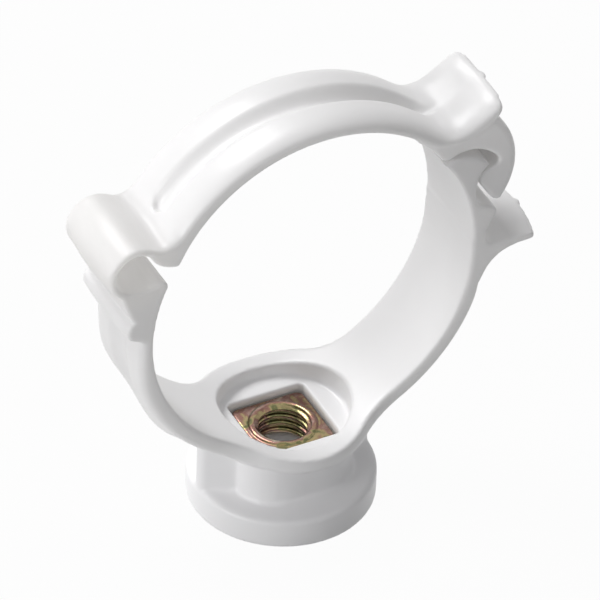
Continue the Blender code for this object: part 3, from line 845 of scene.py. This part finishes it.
def map_range(tree, source, value_from, value_to, **settings):
    """Map Range node from one span of values to another."""
    made = node(tree, "ShaderNodeMapRange", **settings)
    made.inputs["From Min"].default_value, made.inputs["From Max"].default_value = value_from
    made.inputs["To Min"].default_value, made.inputs["To Max"].default_value = value_to
    tree.links.new(source, made.inputs["Value"])
    return made.outputs["Result"]


def noise(tree, place, **values):
    made = node(tree, "ShaderNodeTexNoise", **values)
    tree.links.new(place.outputs["Object"], made.inputs["Vector"])
    return made.outputs["Fac"]


def roughen(tree, shader, source, strength):
    """Bump of a tenth of a millimetre from a noise."""
    bump = node(tree, "ShaderNodeBump", Strength=strength, Distance=0.0001)
    tree.links.new(source, bump.inputs["Height"])
    tree.links.new(bump.outputs["Normal"], shader.inputs["Normal"])


def translucent_share(tree, place):
    """More light shines through the thin hinge loop than the band, and almost none through the foot."""
    apart = node(tree, "ShaderNodeVectorMath", operation="SUBTRACT")
    tree.links.new(place.outputs["Object"], apart.inputs[0])
    x, z = ring(*LOOP)
    apart.inputs[1].default_value = (x * MM, 0, z * MM)
    flat = node(tree, "ShaderNodeVectorMath", operation="MULTIPLY")
    tree.links.new(apart.outputs["Vector"], flat.inputs[0])
    flat.inputs[1].default_value = (1, 0, 1)
    reach = node(tree, "ShaderNodeVectorMath", operation="LENGTH")
    tree.links.new(flat.outputs["Vector"], reach.inputs[0])
    thin = map_range(tree, reach.outputs["Value"], (0.0042, 0.0075), (0.43, 0.24),
                     interpolation_type="SMOOTHSTEP")
    height = node(tree, "ShaderNodeSeparateXYZ")
    tree.links.new(place.outputs["Object"], height.inputs["Vector"])
    slim = map_range(tree, height.outputs["Z"], (0.01, 0.018), (0.1, 1.0),
                     interpolation_type="SMOOTHSTEP")
    share = node(tree, "ShaderNodeMath", operation="MULTIPLY")
    tree.links.new(thin, share.inputs[0])
    tree.links.new(slim, share.inputs[1])
    return share.outputs["Value"]


def white_plastic(name):
    """Soft gloss moulded polypropylene, faintly uneven in colour, gloss and surface."""
    made = bpy.data.materials.new(name)
    made.use_nodes = True
    tree = made.node_tree
    shader = tree.nodes["Principled BSDF"]
    shader.inputs["IOR"].default_value = 1.49
    shader.inputs["Specular IOR Level"].default_value = 0.5
    place = node(tree, "ShaderNodeTexCoord")
    cloud = noise(tree, place, Scale=70.0, Detail=3.0, Roughness=0.5)
    tint = node(tree, "ShaderNodeValToRGB")
    tint.color_ramp.elements[0].color = (0.89, 0.885, 0.893, 1)
    tint.color_ramp.elements[0].position = 0.3
    tint.color_ramp.elements[1].color = (0.92, 0.916, 0.923, 1)
    tint.color_ramp.elements[1].position = 0.7
    tree.links.new(cloud, tint.inputs["Fac"])
    tree.links.new(tint.outputs["Color"], shader.inputs["Base Color"])
    tree.links.new(map_range(tree, cloud, (0.0, 1.0), (0.27, 0.36)), shader.inputs["Roughness"])
    roughen(tree, shader, noise(tree, place, Scale=420.0, Detail=2.0, Roughness=0.5), 0.12)
    glow = node(tree, "ShaderNodeBsdfTranslucent", Color=(0.955, 0.947, 0.925, 1))
    mix = node(tree, "ShaderNodeMixShader")
    tree.links.new(translucent_share(tree, place), mix.inputs["Fac"])
    tree.links.new(shader.outputs["BSDF"], mix.inputs[1])
    tree.links.new(glow.outputs["BSDF"], mix.inputs[2])
    tree.links.new(mix.outputs["Shader"], tree.nodes["Material Output"].inputs["Surface"])
    return made


def yellow_zinc(name):
    """Passivated zinc: straw yellow with drifting green, pink and violet, and a painted sheen that
    turns the colour paler towards grazing angles.
    """
    made = bpy.data.materials.new(name)
    made.use_nodes = True
    tree = made.node_tree
    shader = tree.nodes["Principled BSDF"]
    shader.inputs["Metallic"].default_value = 1.0
    place = node(tree, "ShaderNodeTexCoord")
    cloud = noise(tree, place, Scale=330.0, Detail=4.0, Roughness=0.6, Distortion=1.2)
    # Painted sheen: the view's facing angle pushes the colour up the ramp to its paler colours at
    # grazing angles, on top of the colour drift from the noise.
    facing = node(tree, "ShaderNodeLayerWeight", Blend=0.45)
    drift_and_sheen = node(tree, "ShaderNodeMath", operation="MULTIPLY_ADD")
    tree.links.new(facing.outputs["Facing"], drift_and_sheen.inputs[0])
    drift_and_sheen.inputs[1].default_value = 0.55
    tree.links.new(cloud, drift_and_sheen.inputs[2])
    film_and_sheen = node(tree, "ShaderNodeValToRGB")
    colours = [(0.28, (0.14, 0.09, 0.045)), (0.4, (0.3, 0.24, 0.11)), (0.5, (0.12, 0.13, 0.06)),
               (0.6, (0.38, 0.31, 0.16)), (0.7, (0.24, 0.12, 0.1)), (0.84, (0.34, 0.24, 0.2)),
               (0.95, (0.5, 0.47, 0.35))]
    while len(film_and_sheen.color_ramp.elements) < len(colours):
        film_and_sheen.color_ramp.elements.new(0.5)
    for element, (place_at, colour) in zip(film_and_sheen.color_ramp.elements, colours):
        element.position = place_at
        element.color = (*colour, 1)
    tree.links.new(drift_and_sheen.outputs["Value"], film_and_sheen.inputs["Fac"])
    tree.links.new(film_and_sheen.outputs["Color"], shader.inputs["Base Color"])
    tree.links.new(map_range(tree, cloud, (0.0, 1.0), (0.12, 0.34)), shader.inputs["Roughness"])
    roughen(tree, shader, cloud, 0.3)
    return made


def dress(made, material, sharp=60):
    """Gives a mesh its material and smooth shading up to the sharp angle."""
    made.data.materials.clear()
    made.data.materials.append(material)
    made.data.shade_smooth()
    made.data.set_sharp_from_angle(angle=radians(sharp))


# Stage, light and camera

def show_white(tree, dim, white, camera_share, rays, out):
    """Mixes the white that the camera and the given rays see with the dim shader that lights."""
    path = node(tree, "ShaderNodeLightPath")
    share = node(tree, "ShaderNodeMath", operation="MULTIPLY")
    tree.links.new(path.outputs["Is Camera Ray"], share.inputs[0])
    share.inputs[1].default_value = camera_share
    for ray in rays:
        either = node(tree, "ShaderNodeMath", operation="MAXIMUM")
        tree.links.new(share.outputs["Value"], either.inputs[0])
        tree.links.new(path.outputs[ray], either.inputs[1])
        share = either
    mix = node(tree, "ShaderNodeMixShader")
    tree.links.new(share.outputs["Value"], mix.inputs["Fac"])
    tree.links.new(dim, mix.inputs[1])
    tree.links.new(white, mix.inputs[2])
    tree.links.new(mix.outputs["Shader"], tree.nodes[out].inputs["Surface"])


def studio():
    """Dim world and pale floor that both look white."""
    world = bpy.data.worlds.new("studio")
    bpy.context.scene.world = world
    world.use_nodes = True
    tree = world.node_tree
    back = tree.nodes["Background"]
    back.inputs["Color"].default_value = (0.98, 0.982, 0.99, 1)
    back.inputs["Strength"].default_value = 0.3
    white = node(tree, "ShaderNodeBackground", Color=(1, 1, 1, 1), Strength=1.0)
    show_white(tree, back.outputs["Background"], white.outputs["Background"], 1.0,
               ("Is Transmission Ray", "Is Glossy Ray"), "World Output")

    mesh = bpy.data.meshes.new("floor")
    reach = 3.0
    corners = [(-reach, -reach, 0), (reach, -reach, 0), (reach, reach, 0), (-reach, reach, 0)]
    mesh.from_pydata(corners, [], [(0, 1, 2, 3)])
    floor = bpy.data.objects.new("floor", mesh)
    bpy.context.scene.collection.objects.link(floor)
    floor.location.z = -0.00005
    paint = bpy.data.materials.new("pale_floor")
    paint.use_nodes = True
    tree = paint.node_tree
    shader = tree.nodes["Principled BSDF"]
    shader.inputs["Base Color"].default_value = (0.5, 0.5, 0.5, 1)
    shader.inputs["Roughness"].default_value = 0.9
    glow = node(tree, "ShaderNodeEmission", Color=(1, 1, 1, 1), Strength=1.0)
    show_white(tree, shader.outputs["BSDF"], glow.outputs["Emission"], 0.965,
               ("Is Glossy Ray",), "Material Output")
    mesh.materials.append(paint)


def lamp(name, place, aim, size, power):
    """White rectangular area lamp."""
    light = bpy.data.lights.new(name, "AREA")
    light.shape = "RECTANGLE"
    light.size, light.size_y = size
    light.energy = power
    made = bpy.data.objects.new(name, light)
    bpy.context.scene.collection.objects.link(made)
    made.location = place
    made.rotation_euler = (Vector(aim) - Vector(place)).to_track_quat("-Z", "Y").to_euler()


def camera():
    """The photograph's viewpoint, fitted to the ring and the foot."""
    azimuth, elevation, roll = -0.4954, 0.6824, 0.0376
    distance, across, up_shift = 1.4541, 0.0012714, -0.0042645
    focal_pixels, photo_pixels = 10371.7, 600.0
    centre = Vector((PIPE_SHIFT * MM, 0, 0.039689))
    back = Vector((sin(azimuth) * cos(elevation), -cos(azimuth) * cos(elevation), sin(elevation)))
    right = Vector((cos(azimuth), sin(azimuth), 0))
    up = back.cross(right)
    right, up = cos(roll) * right + sin(roll) * up, cos(roll) * up - sin(roll) * right
    lens = bpy.data.cameras.new("camera")
    lens.sensor_width = 36.0
    lens.lens = focal_pixels * lens.sensor_width / photo_pixels
    lens.clip_start = 0.05
    lens.clip_end = 20.0
    made = bpy.data.objects.new("camera", lens)
    bpy.context.scene.collection.objects.link(made)
    place = Matrix((right, up, back)).transposed().to_4x4()
    place.translation = centre + across * right + up_shift * up + distance * back
    made.matrix_world = place
    bpy.context.scene.camera = made


def main():
    bpy.context.scene.view_settings.view_transform = "Standard"
    camera()
    studio()
    lamp("key", (-0.16, 0.42, 0.73), (0, 0, 0.035), (0.4, 0.4), 4.75)
    lamp("left", (-0.76, -0.13, 0.24), (0, 0, 0.035), (0.4, 0.3), 2.75)

    base, loop, strap = split_moulding()
    white = white_plastic("white_polypropylene")
    for made in (base, loop, strap):
        dress(made, white)
    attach(base, "base")
    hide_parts("clip_base")
    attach(strap, "strap")
    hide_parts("strap")
    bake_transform(loop)
    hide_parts("hinge_loop")

    nut = nut_shell()
    dress(nut, yellow_zinc("yellow_zinc"), 45)
    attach(nut, "base")
    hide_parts("square_nut")


main()
